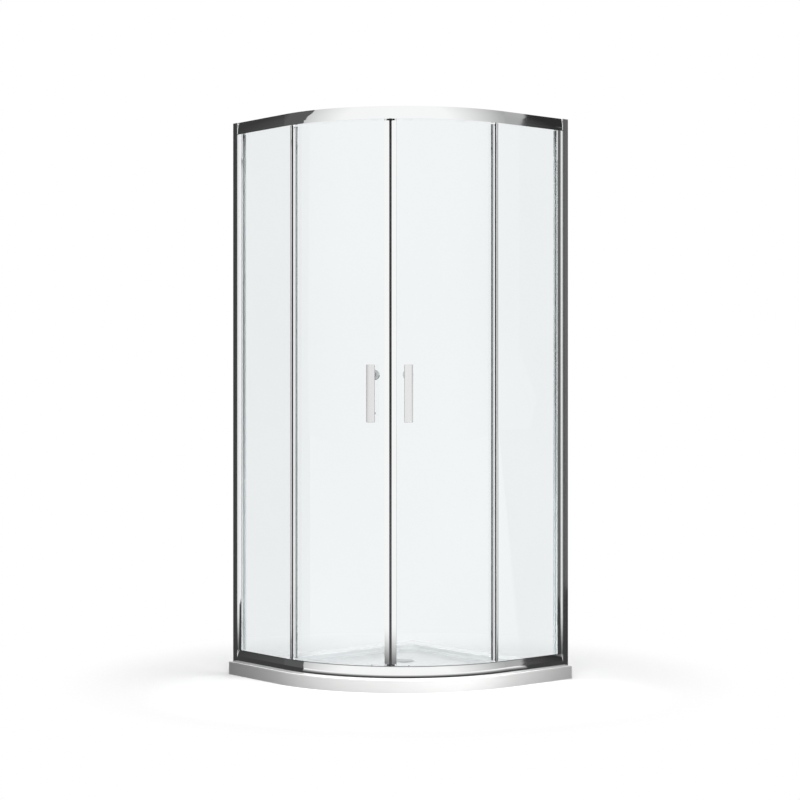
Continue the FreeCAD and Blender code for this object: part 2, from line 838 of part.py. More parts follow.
def make_rails():
    """Both rails: straight, round the bow and straight again, leaning back towards the upper edge."""
    clear = d.screw_clearance
    cone_radius = d.rail_screw_head + clear
    hole_radius = d.rail_screw_radius + clear
    sink = turned_upright("rail_screw_hole", [
        (0, -d.rail_plate), (cone_radius, -d.rail_plate), (cone_radius, 0), (hole_radius, d.rail_screw_cone),
        (hole_radius, d.rail_plate * 2), (0, d.rail_plate * 2)])
    place_on_panel(sink, port_inset, pane_middle, d.tray_height)
    right_sink = right_copy(sink, "rail_screw_hole_right")

    def drilled(label, blank):
        left_cut = doc.addObject("Part::Cut", label + "_left_cut")
        left_cut.Base = blank
        left_cut.Tool = sink
        rail = doc.addObject("Part::Cut", label)
        rail.Base = left_cut
        rail.Tool = right_sink
        return rail

    leaning = fascia_top - d.fascia_flat
    lower = make_rail_blank(
        "bottom_rail_blank", [(rail_outer, 0), (rail_outer, d.fascia_flat), (fascia_back, fascia_top)],
        fascia_back + d.lip_step, {2: lean_radius(leaning, d.fascia_lean)})
    node(drilled("bottom_rail", lower), "bottom_rail")
    upright = rail_outer - d.lip_step
    upper = make_rail_blank(
        "top_rail_blank", [(fascia_back, 0), (upright, leaning), (upright, fascia_top)],
        rail_outer, {1: lean_radius(leaning, upright - fascia_back)})
    node(upper_copy(drilled("top_rail_turned", upper)), "top_rail")


def make_rail_ends():
    """Blocks in the rails' glazing pockets, and the screws through them into the side profiles."""
    clear = d.block_clearance
    block = new_body("rail_end_block")
    plan = new_sketch(block, "XY_Plane")
    front = d.tray_radius - pocket_outer + clear
    rear = d.tray_radius - web_outer - clear
    rectangle(plan, d.profile_reach + clear, pane_start - clear, front, rear)
    circle(plan, port_inset, pane_middle, d.rail_screw_radius + d.screw_clearance)
    pad(block, plan, d.rail_height - d.rail_plate)
    place_on_panel(block, 0, 0, d.tray_height + d.rail_plate)
    four_corners("rail_end_blocks", block)

    screw = turned_upright("rail_screw", [
        (0, 0), (d.rail_screw_head, 0), (d.rail_screw_radius, d.rail_screw_cone),
        (d.rail_screw_radius, d.rail_screw_length), (0, d.rail_screw_length)])
    place_on_panel(screw, port_inset, pane_middle, d.tray_height)
    four_corners("rail_screws", screw)


def make_fixed_panel():
    """The flat glass beside the wall, its gaskets, and the trim and seal on its free edge."""
    pane_low = d.tray_height + d.gasket_seat + d.gasket_wall
    pane_high = top - d.gasket_seat - d.gasket_wall
    pane = doc.addObject("Part::Box", "left_fixed_glass")
    bind(pane, "Length", pane_end - pane_start)
    bind(pane, "Width", d.glass_thickness)
    bind(pane, "Height", pane_high - pane_low)
    place_on_panel(pane, pane_start, pane_front, pane_low)
    both_sides(pane, "fixed_glass")

    upright = panel_extrusion("side_gasket", [
        (d.side_slot_start, lip_front), (d.side_reach, lip_front), (d.side_reach, pane_front),
        (pane_start, pane_front), (pane_start, pane_back), (d.side_reach, pane_back),
        (d.side_reach, slot_rear), (d.side_slot_start, slot_rear)], clear_low, clear_high)
    sill = new_body("sill_gasket")
    section = new_sketch(sill, "YZ_Plane")
    pocket_front = d.tray_radius - pocket_outer
    pocket_rear = d.tray_radius - web_outer
    seat = d.gasket_seat
    edge = d.gasket_seat + d.gasket_wall
    outline(section, [
        (pocket_front, seat), (pocket_rear, seat), (pocket_rear, d.web_height), (pane_back, d.web_height),
        (pane_back, edge), (pane_front, edge), (pane_front, d.web_height), (pocket_front, d.web_height)])
    pad(sill, section, straight - pane_start)
    place_on_panel(sill, pane_start, 0, d.tray_height)
    both_sides(group("left_glazing_gasket", [upright, sill, upper_copy(sill)]), "glazing_gasket")

    low = clear_low + d.trim_clearance
    high = clear_high - d.trim_clearance
    trim_start = pane_end - d.trim_cover
    trim_stop = pane_end + d.trim_end
    trim_front = pane_front - d.trim_wall
    trim = panel_extrusion("left_edge_trim", [
        (trim_start, trim_front), (trim_stop, trim_front), (trim_stop, pane_front), (trim_start, pane_front)],
        low, high, {0: bulge_radius(trim_stop - trim_start, d.trim_bulge)})
    both_sides(trim, "edge_trim")

    seal_start = pane_end - d.edge_seal_cover
    seal_back = pane_back + d.edge_seal_wall
    lip_stop = seal_start + d.edge_lip_wall
    lip_tip = seal_back + d.edge_lip
    seal = panel_extrusion("left_edge_seal", [
        (pane_end, pane_front), (trim_stop, pane_front), (trim_stop, seal_back), (lip_stop, seal_back),
        (lip_stop, lip_tip), (seal_start, lip_tip), (seal_start, pane_back), (pane_end, pane_back)],
        low, high)
    both_sides(seal, "edge_seal")


def make_door_stops():
    """Rubber blocks in the rails that meet the trailing carriers when a door is fully open."""
    overrun = d.open_angle + carrier_half_angle - d.trail_roller_angle
    stop_end = straight - clip_outer * sine(overrun) - d.stop_gap
    stop = doc.addObject("Part::Box", "door_stop")
    front = d.tray_radius - web_inner
    rear = d.tray_radius - ledge_outer
    bind(stop, "Length", d.stop_length)
    bind(stop, "Width", rear - front)
    bind(stop, "Height", d.stop_height)
    place_on_panel(stop, stop_end - d.stop_length, front, d.tray_height + d.rail_plate)
    four_corners("door_stops", stop)


def make_door_glass():
    """The curved door glass, with the two handle holes."""
    glass = bow_piece("left_door_glass", [
        (door_inner, door_low), (door_outer, door_low), (door_outer, door_high), (door_inner, door_high)],
        d.handle_angle, door_stop_angle - d.handle_angle, behind=d.handle_angle - door_start_angle)
    holes = new_sketch(glass, "YZ_Plane")
    for height in (d.post_low, d.post_high):
        circle(holes, 0, height, d.glass_hole_radius)
    pocket(glass, holes, door_outer + d.glass_thickness, backwards=True)
    both_sides(glass, "door_glass")


def make_door_edges():
    """The meeting stile with its magnetic seal, and the profile on the trailing edge."""
    stile_outer = door_outer + d.stile_wall
    stile_inner = door_inner - d.stile_wall
    slot_inner = door_inner - d.stile_glue
    slot_outer = door_outer + d.stile_glue
    lead = d.stile_width / 2
    slot_end = lead - d.stile_end
    stile = new_body("left_meeting_stile")
    plan = new_sketch(stile, "XY_Plane")
    outline(plan, [
        (stile_inner, -lead), (slot_inner, -lead), (slot_inner, slot_end), (slot_outer, slot_end),
        (slot_outer, -lead), (stile_outer, -lead), (stile_outer, lead), (stile_inner, lead)],
        {5: bulge_radius(d.stile_width, d.stile_bulge)})
    pad(stile, plan, door_high - door_low)
    place_on_bow(stile, stile_angle, door_low)
    both_sides(stile, "meeting_stile")

    seal_outer = door_outer + d.magnet_wall
    seal_inner = door_inner - d.magnet_wall
    meeting_slope = (lead + d.magnet_width) / door_outer
    seal = new_body("left_magnet_seal")
    plan = new_sketch(seal, "XY_Plane")
    outline(plan, [
        (seal_inner, lead), (seal_outer, lead), (seal_outer, seal_outer * meeting_slope),
        (seal_inner, seal_inner * meeting_slope)])
    pad(seal, plan, door_high - door_low)
    place_on_bow(seal, stile_angle, door_low)
    both_sides(seal, "magnet_seal")

    low = clear_low + d.trim_clearance
    high = clear_high - d.trim_clearance
    trail_outer = door_outer + d.trail_wall
    trail_inner = door_inner - d.trail_wall
    half = trail_width / 2
    slot_start = half - d.trail_cover - d.trail_end_gap
    trail = new_body("left_trailing_profile")
    plan = new_sketch(trail, "XY_Plane")
    outline(plan, [
        (trail_inner, -half), (trail_outer, -half), (trail_outer, half), (slot_outer, half),
        (slot_outer, slot_start), (slot_inner, slot_start), (slot_inner, half), (trail_inner, half)],
        {1: bulge_radius(trail_width, d.trail_bulge)})
    pad(trail, plan, high - low)
    place_on_bow(trail, trail_angle, low)
    both_sides(trail, "trailing_profile")


def make_handle():
    """Bar, posts, bushes, studs, inner knob and cap nut of a door handle."""
    bar = new_body("left_handle_bar")
    plan = new_sketch(bar, "XY_Plane")
    half = d.handle_width / 2
    bar_side = bar_back + d.handle_bar - d.handle_crown
    outline(plan, [(bar_back, -half), (bar_side, -half), (bar_side, half), (bar_back, half)],
            {1: bulge_radius(d.handle_width, d.handle_crown)})
    blank = pad(bar, plan, d.handle_length)
    sides = fillet(bar, blank, is_upright, d.handle_edge_radius)
    length = d.handle_length.value
    fillet(bar, sides, lambda edge: is_level_at(edge, 0) or is_level_at(edge, length), d.handle_end_radius)
    place_on_bow(bar, d.handle_angle, d.handle_low)
    both_sides(bar, "handle_bar")

    bore = d.stud_radius + d.stud_clearance
    sleeve = d.glass_hole_radius - d.sleeve_clearance
    sleeve_tip = door_outer - d.sleeve_depth
    posts = []
    bushes = []
    for name, height in (("low", d.post_low), ("high", d.post_high)):
        posts.append(turned_outwards(f"handle_post_{name}", [
            (bush_outer, bore), (stud_tip, bore), (stud_tip, 0), (bar_back, 0), (bar_back, d.post_radius),
            (bush_outer, d.post_radius)], d.handle_angle, height))
        bushes.append(turned_outwards(f"handle_bush_{name}", [
            (sleeve_tip, bore), (bush_outer, bore), (bush_outer, d.bush_radius), (door_outer, d.bush_radius),
            (door_outer, sleeve), (sleeve_tip, sleeve)], d.handle_angle, height))
        bushes.append(turned_outwards(f"handle_washer_{name}", [
            (washer_inner, bore), (washer_face, bore), (washer_face, d.bush_radius),
            (washer_inner, d.bush_radius)], d.handle_angle, height))
    both_sides(group("left_handle_posts", posts), "handle_posts")
    both_sides(group("left_handle_bushes", bushes), "handle_bushes")

    knob_stud = washer_inner - d.knob_stud
    seat_end = washer_inner - d.knob_seat_length
    flare = seat_end - d.knob_taper
    round_start = knob_tip + d.knob_edge_radius
    knob = turned_outwards("left_handle_knob", [
        (knob_tip, 0), (knob_stud, 0), (knob_stud, bore), (washer_inner, bore), (washer_inner, d.knob_seat),
        (seat_end, d.knob_neck), (flare, d.knob_radius), (round_start, d.knob_radius),
        (knob_tip, d.knob_radius - d.knob_edge_radius)], d.handle_angle, d.post_high,
        {7: d.knob_edge_radius})
    both_sides(knob, "handle_knob")

    nut_stud = washer_inner - d.cap_nut_stud
    nut = turned_outwards("left_cap_nut", [
        (cap_nut_tip, 0), (nut_stud, 0), (nut_stud, bore), (washer_inner, bore),
        (washer_inner, d.cap_nut_radius), (cap_nut_tip + d.cap_nut_edge, d.cap_nut_radius),
        (cap_nut_tip, d.cap_nut_radius - d.cap_nut_edge)], d.handle_angle, d.post_low, {5: d.cap_nut_edge})
    both_sides(nut, "cap_nut")

    studs = []
    for name, height, inner in (("low", d.post_low, nut_stud), ("high", d.post_high, knob_stud)):
        studs.append(turned_outwards(f"handle_stud_{name}", [
            (inner, 0), (stud_tip, 0), (stud_tip, d.stud_radius), (inner, d.stud_radius)],
            d.handle_angle, height))
    both_sides(group("left_handle_studs", studs), "handle_studs")


def make_carrier(name, angle):
    """A clip on the door glass's lower edge with an upright for its axle, and its rubber pad."""
    upright_low = axle_height - d.carrier_boss
    carrier = bow_piece(f"carrier_{name}", [
        (clip_face, upright_low), (clip_outer, upright_low), (clip_outer, clip_top), (clip_face, clip_top),
        (clip_face, pad_base), (clip_back, pad_base), (clip_back, clip_top), (clip_inner, clip_top),
        (clip_inner, clip_base), (clip_face, clip_base)],
        angle, carrier_half_angle, behind=carrier_half_angle)
    hole = new_sketch(carrier, "YZ_Plane")
    circle(hole, 0, axle_height, d.axle_radius + d.axle_fit)
    pocket(carrier, hole, clip_outer + d.carrier_wall, backwards=True)
    rubber = bow_piece(f"carrier_pad_{name}", [
        (clip_back, pad_base), (clip_face, pad_base), (clip_face, clip_top), (door_outer, clip_top),
        (door_outer, glass_edge), (door_inner, glass_edge), (door_inner, clip_top), (clip_back, clip_top)],
        angle, carrier_half_angle, behind=carrier_half_angle)
    for piece in (carrier, rubber):
        place_on_bow(piece, angle, d.tray_height)
    return carrier, rubber


def with_thumb_tab(carrier, angle):
    """The lower leading carrier has a small tab that shows above the rail, to lift the door off by."""
    tab_top = clip_top + d.tab_height
    tab = bow_piece("thumb_tab", [
        (clip_face, pad_base), (clip_outer, pad_base), (clip_outer, tab_top), (clip_face, tab_top)],
        angle, tab_half_angle, behind=tab_half_angle)
    place_on_bow(tab, angle, d.tray_height)
    joined = doc.addObject("Part::Fuse", "carrier_with_tab")
    joined.Base = carrier
    joined.Tool = tab
    joined.Refine = True
    return joined


def make_axle(name, angle):
    """The riveted axle between the carrier's upright and its wheel."""
    head = d.axle_head
    collar_start = clip_face - d.axle_seat_gap
    head_end = clip_outer + d.axle_head_height
    collar_end = wheel_outer + d.axle_side_gap
    tip_start = wheel_inner - d.axle_side_gap
    tip = tip_start - d.axle_head_height
    return turned_outwards(f"axle_{name}", [
        (tip, 0), (head_end, 0), (head_end, head), (clip_outer, head), (clip_outer, d.axle_radius),
        (collar_start, d.axle_radius), (collar_start, head), (collar_end, head), (collar_end, d.axle_radius),
        (tip_start, d.axle_radius), (tip_start, head), (tip, head)], angle, d.tray_height + axle_height)


def make_wheel(name, angle):
    """A wheel with chamfered rims that runs under the lower ledge or on the upper one."""
    bore = d.axle_radius + d.axle_fit
    rim = d.wheel_radius - d.wheel_chamfer
    return turned_outwards(f"wheel_{name}", [
        (wheel_inner, bore), (wheel_outer, bore), (wheel_outer, rim),
        (wheel_outer - d.wheel_chamfer, d.wheel_radius),
        (wheel_inner + d.wheel_chamfer, d.wheel_radius),
        (wheel_inner, rim)], angle, d.tray_height + axle_height)


def make_rollers():
    """Four rollers per door: a leading and a trailing one, in the bottom rail and in the top rail."""
    carriers = []
    pads = []
    axles = []
    for name, angle in (("lead", d.lead_roller_angle), ("trail", d.trail_roller_angle)):
        carrier, rubber = make_carrier(name, angle)
        axle = make_axle(name, angle)
        wheel = make_wheel(name, angle)
        carriers.append(upper_copy(carrier))
        carriers.append(with_thumb_tab(carrier, angle) if name == "lead" else carrier)
        pads += [rubber, upper_copy(rubber)]
        axles += [axle, upper_copy(axle)]
        upper_wheel = upper_copy(wheel)
        both_sides(wheel, f"lower_{name}_wheel")
        both_sides(upper_wheel, f"upper_{name}_wheel")
    both_sides(group("left_roller_carriers", carriers), "roller_carriers")
    both_sides(group("left_carrier_pads", pads), "carrier_pads")
    both_sides(group("left_roller_axles", axles), "roller_axles")


def write_out():
    """Check every object and write each node's solids."""
    doc.recompute()
    for thing in doc.Objects:
        if "Invalid" in thing.State or "Error" in thing.State:
            raise RuntimeError(f"{thing.Label} failed: {thing.State}")
    for label, thing in nodes.items():
        if thing.Shape.isNull() or not thing.Shape.isValid() or not thing.Shape.Solids:
            raise RuntimeError(f"{label} has no valid solid")
    os.makedirs("parts", exist_ok=True)
    for label, thing in nodes.items():
        thing.Shape.exportStep(f"parts/{label}.step")
    print(len(nodes), "nodes,", sum(len(thing.Shape.Solids) for thing in nodes.values()), "solids")


make_tray()
make_waste()
make_wall_profile()
make_side_profile()
make_clamp_screws()
make_rails()
make_rail_ends()
make_fixed_panel()
make_door_stops()
make_door_glass()
make_door_edges()
make_handle()
make_rollers()
write_out()
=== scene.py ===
"""Looks of the quadrant shower enclosure: materials and a white studio."""
import json
import math

import bpy
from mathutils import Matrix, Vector

# Camera, fitted to the photograph's rails, tray edge and wall lines: level, with the frame shifted
CAMERA_AT = (4.995, -4.200, 1.0015)
CAMERA_AZIMUTH = 49.91
CAMERA_LENS = 84.04
CAMERA_SENSOR = 36
CAMERA_SHIFT_Y = -0.013

# Noise: its usual span, the stops between which a colour drifts, and its stretch up drawn metal
NOISE_SPAN = (0.3, 0.7)
TONE_STOPS = (0.35, 0.65)
DRAWN = (1.0, 1.0, 0.02)

# Tray: painted shade, not the tray's own colour: flat ground turns from the rim's white tone to a greyer
# shade tone between these heights, in metres
BASIN_LOW = 0.030
BASIN_LEVEL = 0.044
RIM_TONE = (0.89, 0.89, 0.885)
# greyer tone of the painted shade on the basin floor
BASIN_SHADE_TONE = (0.68, 0.685, 0.69)
FLAT_FACING = (0.3, 0.8, 0, 1)
GRAIN = 0.1
GRAIN_SCALE = 2.5

# Colour of the light that lamps send through the glass
GLASS_SHADOW = (0.91, 0.925, 0.93, 1.0)

# Sky: strength where it lights, the way to the front, and the mirrored strength from the sides round to
# front and back
WORLD_FILL = 0.08
FRONT = math.radians(314)
FRONT_FALL = (0.0, 0.75, 0.42, 1.0)

# Floor, in metres: it turns white between two distances from the origin
FLOOR_SIZE = 60
FADE_START = 0.55
FADE_END = 1.2
FLOOR_TONES = ((0.90, 0.90, 0.90), (0.92, 0.92, 0.92))
FLOOR_DRIFT = 0.5
FLOOR_BOUNCE = (0.06, 0.06, 0.06, 1)

# Floor as it is mirrored: its tone by the distance from the bow's axis, and the lines past which it is dark,
# as a point and the heading in degrees at which the dark side lies
BOW_AXIS = (-0.125, 0.125, 0)
MIRROR_DARK = 0.05
MIRROR_FADE = (0.75, 2.2, MIRROR_DARK, 1.0)
LEFT_SHADE = ((-0.18, -0.66, 0), 149.4)
RIGHT_SHADE = ((0.63, 0.42, 0), 133)
SHADE_EDGE = 0.02

# Sockets of a Mix node for colours
MIX_FACTOR, MIX_FIRST, MIX_SECOND, MIX_COLOUR = 0, 6, 7, 2

# Lamps: place, aim, side and watts
LAMPS = {
    "key_left": ((0.30, -0.77, 0.45), (0.1, -0.2, 0.05), 0.4, 3.8),
    "key_right": ((0.79, -0.14, 0.45), (0.3, 0, 0.05), 0.4, 5.4),
    "top": ((0.2, -0.2, 3.2), (-0.1, 0.1, 0), 1.6, 76),
    "back": ((-1.8, 1.8, 2.4), (0, 0, 0.6), 1.5, 20),
    "back_low": ((-1.3, 1.3, 0.14), (0, 0, 0.03), 0.5, 13),
}

# Upright cards: plane, corners as (place along it, height), and the tones at two places along it.
# The outer edges of the dark ones are bent, for the slant at which the rails' curved faces mirror them.
LEFT_WALL = ("X", -2.5)
RIGHT_WALL = ("Y", 2.5)
CARDS = {
    "left_dark": (LEFT_WALL, [
        (-4.55, 0), (-1.5, 0), (-1.5, 6), (-6.6, 6), (-5.6, 4.2), (-4.45, 2.6), (-4.2, 1.3)],
        (-1.85, 0.046), (-2.4, 0.105)),
    "left_white": (LEFT_WALL, [(-1.5, 0), (1.5, 0), (1.5, 6), (-1.5, 6)], (-1.5, 1.0), (1.5, 0.8)),
    "right_dark": (RIGHT_WALL, [
        (2.84, 0), (2.5, 0), (2.5, 2.5), (1.6, 2.5), (1.6, 6), (2.0, 6), (2.39, 3.35), (2.69, 2.76),
        (2.80, 2.4), (2.80, 1.2), (2.67, 0.96), (2.78, 0.62), (2.84, 0.2)],
        (2.535, 0.029), (2.80, 0.077)),
    "right_grey": (RIGHT_WALL, [(2.5, 0), (0.9, 0), (0.9, 2.5), (2.5, 2.5)], (2.5, 0.16), (0.9, 0.12)),
}

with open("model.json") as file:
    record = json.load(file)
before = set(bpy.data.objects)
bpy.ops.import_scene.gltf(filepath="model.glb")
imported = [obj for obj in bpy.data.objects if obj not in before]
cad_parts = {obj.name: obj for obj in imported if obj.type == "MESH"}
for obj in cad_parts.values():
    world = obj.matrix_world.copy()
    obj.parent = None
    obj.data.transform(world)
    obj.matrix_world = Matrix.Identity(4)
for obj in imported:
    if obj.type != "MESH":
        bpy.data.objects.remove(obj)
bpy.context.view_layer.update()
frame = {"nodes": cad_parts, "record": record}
nodes = frame["nodes"]


def map_range(tree, limits, kind="LINEAR"):
    """A Map Range node from limits: from low, from high, to low, to high."""
    made = tree.nodes.new("ShaderNodeMapRange")
    made.interpolation_type = kind
    for socket, value in zip(("From Min", "From Max", "To Min", "To Max"), limits):
        made.inputs[socket].default_value = value
    return made


class Material:
    """A Principled material whose colour, roughness and bump come from procedural nodes."""

    def __init__(self, name, roughness, **sockets):
        self.data = bpy.data.materials.new(name)
        self.data.use_nodes = True
        self.tree = self.data.node_tree
        self.shader = self.tree.nodes["Principled BSDF"]
        self.shader.inputs["Roughness"].default_value = roughness
        for socket, value in sockets.items():
            self.shader.inputs[socket.replace("_", " ")].default_value = value
        self.place = self.tree.nodes.new("ShaderNodeTexCoord").outputs["Object"]

    def node(self, kind, **settings):
        made = self.tree.nodes.new(kind)
        for key, value in settings.items():
            setattr(made, key, value)
        return made

    def link(self, source, target):
        self.tree.links.new(source, target)

    def noise(self, scale, detail=4.0, stretch=(1, 1, 1)):
        """A noise value over the piece, stretched per axis."""
        mapping = self.node("ShaderNodeMapping")
        mapping.inputs["Scale"].default_value = stretch
        self.link(self.place, mapping.inputs["Vector"])
        noise = self.node("ShaderNodeTexNoise")
        noise.inputs["Scale"].default_value = scale
        noise.inputs["Detail"].default_value = detail
        self.link(mapping.outputs["Vector"], noise.inputs["Vector"])
        return noise.outputs["Fac"]

    def ramp(self, factor, stops, tones):
        """A colour ramp over a factor, from two stops and the tones at them."""
        ramp = self.node("ShaderNodeValToRGB")
        for element, position, colour in zip(ramp.color_ramp.elements, stops, tones):
            element.position = position
            element.color = (*colour, 1.0)
        self.link(factor, ramp.inputs["Fac"])
        return ramp.outputs["Color"]

    def span(self, factor, low, high):
        """A factor mapped from the noise's usual span to a range."""
        mapped = map_range(self.tree, (*NOISE_SPAN, low, high))
        self.link(factor, mapped.inputs["Value"])
        return mapped.outputs["Result"]

    def colour(self, low, high, scale, stretch=(1, 1, 1)):
        """Base colour that drifts between two tones."""
        tone = self.ramp(self.noise(scale, detail=5.0, stretch=stretch), TONE_STOPS, (low, high))
        self.link(tone, self.shader.inputs["Base Color"])
        return self

    def rough(self, low, high, scale, stretch=(1, 1, 1)):
        """Roughness that varies between two values."""
        grain = self.noise(scale, detail=3.0, stretch=stretch)
        self.link(self.span(grain, low, high), self.shader.inputs["Roughness"])
        return self

    def bump(self, scale, strength, distance):
        """Fine surface relief."""
        bump = self.node("ShaderNodeBump")
        bump.inputs["Strength"].default_value = strength
        bump.inputs["Distance"].default_value = distance
        self.link(self.noise(scale, detail=3.0), bump.inputs["Height"])
        self.link(bump.outputs["Normal"], self.shader.inputs["Normal"])
        return self

    def painted_basin_shade(self, low, level, tones):
        """Painted shade: a base colour that turns to the second, greyer tone on flat ground, from a level
        down to a low.
        """
        heights = self.node("ShaderNodeSeparateXYZ")
        self.link(self.place, heights.inputs[0])
        below = map_range(self.tree, (low, level, 1, 0))
        self.link(heights.outputs["Z"], below.inputs["Value"])
        facing = self.node("ShaderNodeSeparateXYZ")
        self.link(self.node("ShaderNodeNewGeometry").outputs["Normal"], facing.inputs[0])
        flat = map_range(self.tree, FLAT_FACING)
        self.link(facing.outputs["Z"], flat.inputs["Value"])
        # mask of the painted shade: flat ground below the rim
        shade_mask = self.node("ShaderNodeMath", operation="MULTIPLY")
        self.link(below.outputs["Result"], shade_mask.inputs[0])
        self.link(flat.outputs["Result"], shade_mask.inputs[1])
        grain = self.node("ShaderNodeMath", operation="MULTIPLY_ADD")
        self.link(self.noise(GRAIN_SCALE), grain.inputs[0])
        grain.inputs[1].default_value = GRAIN
        self.link(shade_mask.outputs[0], grain.inputs[2])
        self.link(self.ramp(grain.outputs[0], (0, 1), tones), self.shader.inputs["Base Color"])
        return self

    def clear_to_lamps(self):
        """Glass that lets lamp rays through, so that it casts almost no shadow."""
        path = self.node("ShaderNodeLightPath")
        clear = self.node("ShaderNodeBsdfTransparent")
        clear.inputs["Color"].default_value = GLASS_SHADOW
        mix = self.node("ShaderNodeMixShader")
        self.link(path.outputs["Is Shadow Ray"], mix.inputs["Fac"])
        self.link(self.shader.outputs["BSDF"], mix.inputs[1])
        self.link(clear.outputs["BSDF"], mix.inputs[2])
        self.link(mix.outputs["Shader"], self.tree.nodes["Material Output"].inputs["Surface"])
        return self


materials = {
    "bright_rail": Material("bright_rail", 0.03, Metallic=1.0)
    .colour((0.89, 0.895, 0.90), (0.92, 0.925, 0.93), 3.0).rough(0.02, 0.05, 12.0),
    "bright_profile": Material("bright_profile", 0.08, Metallic=1.0)
    .colour((0.88, 0.885, 0.89), (0.92, 0.925, 0.93), 3.0, DRAWN).rough(0.04, 0.09, 40.0, DRAWN),
    "bright_trim": Material("bright_trim", 0.08, Metallic=1.0)
    .colour((0.89, 0.895, 0.90), (0.93, 0.935, 0.94), 3.0, DRAWN).rough(0.04, 0.09, 40.0, DRAWN),
    "dark_seal": Material("dark_seal", 0.5)
    .colour((0.03, 0.03, 0.033), (0.05, 0.05, 0.055), 20.0, DRAWN).rough(0.4, 0.6, 60.0, DRAWN),
    "clear_gasket": Material("clear_gasket", 0.3)
    .colour((0.72, 0.75, 0.75), (0.80, 0.83, 0.83), 10.0).rough(0.25, 0.4, 40.0),
    "clear_glass": Material("clear_glass", 0.0, Transmission_Weight=1.0, IOR=1.45)
    .colour((0.87, 0.895, 0.90), (0.89, 0.915, 0.92), 1.2).clear_to_lamps(),
    # white tray, with painted shade greying its basin floor
    "white_tray": Material("white_tray", 0.15, Coat_Weight=0.6, Coat_Roughness=0.04)
    .painted_basin_shade(BASIN_LOW, BASIN_LEVEL, (RIM_TONE, BASIN_SHADE_TONE)).rough(0.12, 0.2, 9.0),
    "satin_handle": Material("satin_handle", 0.2, Metallic=1.0)
    .colour((0.74, 0.74, 0.74), (0.82, 0.82, 0.82), 60.0, DRAWN).rough(0.14, 0.22, 260.0, DRAWN),
    "knob_chrome": Material("knob_chrome", 0.05, Metallic=1.0)
    .colour((0.62, 0.63, 0.64), (0.68, 0.69, 0.70), 30.0).rough(0.03, 0.08, 60.0),
    "waste_chrome": Material("waste_chrome", 0.06, Metallic=1.0)
    .colour((0.50, 0.51, 0.52), (0.56, 0.57, 0.58), 20.0).rough(0.04, 0.1, 60.0),
    "screw_steel": Material("screw_steel", 0.3, Metallic=1.0)
    .colour((0.55, 0.56, 0.57), (0.64, 0.65, 0.66), 90.0).rough(0.25, 0.4, 120.0),
    "grey_plastic": Material("grey_plastic", 0.5)
    .colour((0.36, 0.37, 0.38), (0.42, 0.43, 0.44), 60.0).rough(0.42, 0.6, 120.0).bump(600.0, 0.2, 0.0003),
    "cap_plastic": Material("cap_plastic", 0.25)
    .colour((0.66, 0.67, 0.68), (0.72, 0.73, 0.74), 60.0).rough(0.2, 0.32, 120.0),
    "wheel_plastic": Material("wheel_plastic", 0.35)
    .colour((0.74, 0.74, 0.73), (0.80, 0.80, 0.79), 80.0).rough(0.28, 0.42, 120.0),
    "black_rubber": Material("black_rubber", 0.6)
    .colour((0.02, 0.02, 0.02), (0.035, 0.035, 0.035), 90.0).rough(0.5, 0.7, 120.0).bump(900.0, 0.2, 0.0002),
}

for part in frame["record"]["subparts"]:
    mesh = nodes[part["node"]].data
    mesh.materials.clear()
    mesh.materials.append(materials[part["material_slot"]].data)


def seen_rays(tree):
    """1 for the rays that show a surface: the camera's own, and those mirrored or let through by others."""
    path = tree.nodes.new("ShaderNodeLightPath")
    seen = path.outputs["Is Camera Ray"]
    for ray in ("Is Glossy Ray", "Is Transmission Ray"):
        either = tree.nodes.new("ShaderNodeMath")
        either.operation = "MAXIMUM"
        tree.links.new(seen, either.inputs[0])
        tree.links.new(path.outputs[ray], either.inputs[1])
        seen = either.outputs[0]
    return seen


def mirrored_rays(tree):
    """1 for the rays that a surface mirrors, and 0 for those that glass lets through."""
    path = tree.nodes.new("ShaderNodeLightPath")
    mirrored = tree.nodes.new("ShaderNodeMath")
    mirrored.operation = "SUBTRACT"
    mirrored.use_clamp = True
    tree.links.new(path.outputs["Is Glossy Ray"], mirrored.inputs[0])
    tree.links.new(path.outputs["Is Transmission Ray"], mirrored.inputs[1])
    return mirrored.outputs[0]


def white_world():
    """White where it is seen, a soft fill where it lights; mirrored, white ahead and behind, grey between."""
    world = bpy.data.worlds.new("studio")
    bpy.context.scene.world = world
    world.use_nodes = True
    tree = world.node_tree
    tree.nodes.clear()
    fill = map_range(tree, (0, 1, WORLD_FILL, 1.0))
    tree.links.new(seen_rays(tree), fill.inputs["Value"])

    place = tree.nodes.new("ShaderNodeTexCoord")
    facing = tree.nodes.new("ShaderNodeVectorMath")
    facing.operation = "DOT_PRODUCT"
    tree.links.new(place.outputs["Generated"], facing.inputs[0])
    facing.inputs[1].default_value = (math.cos(FRONT), math.sin(FRONT), 0)
    along = tree.nodes.new("ShaderNodeMath")
    along.operation = "ABSOLUTE"
    tree.links.new(facing.outputs["Value"], along.inputs[0])
    front = map_range(tree, FRONT_FALL)
    tree.links.new(along.outputs[0], front.inputs["Value"])

    strength = tree.nodes.new("ShaderNodeMix")
    tree.links.new(mirrored_rays(tree), strength.inputs["Factor"])
    tree.links.new(fill.outputs["Result"], strength.inputs["A"])
    tree.links.new(front.outputs["Result"], strength.inputs["B"])
    sky = tree.nodes.new("ShaderNodeBackground")
    sky.inputs["Color"].default_value = (1, 1, 1, 1)
    tree.links.new(strength.outputs["Result"], sky.inputs["Strength"])
    out = tree.nodes.new("ShaderNodeOutputWorld")
    tree.links.new(sky.outputs[0], out.inputs["Surface"])


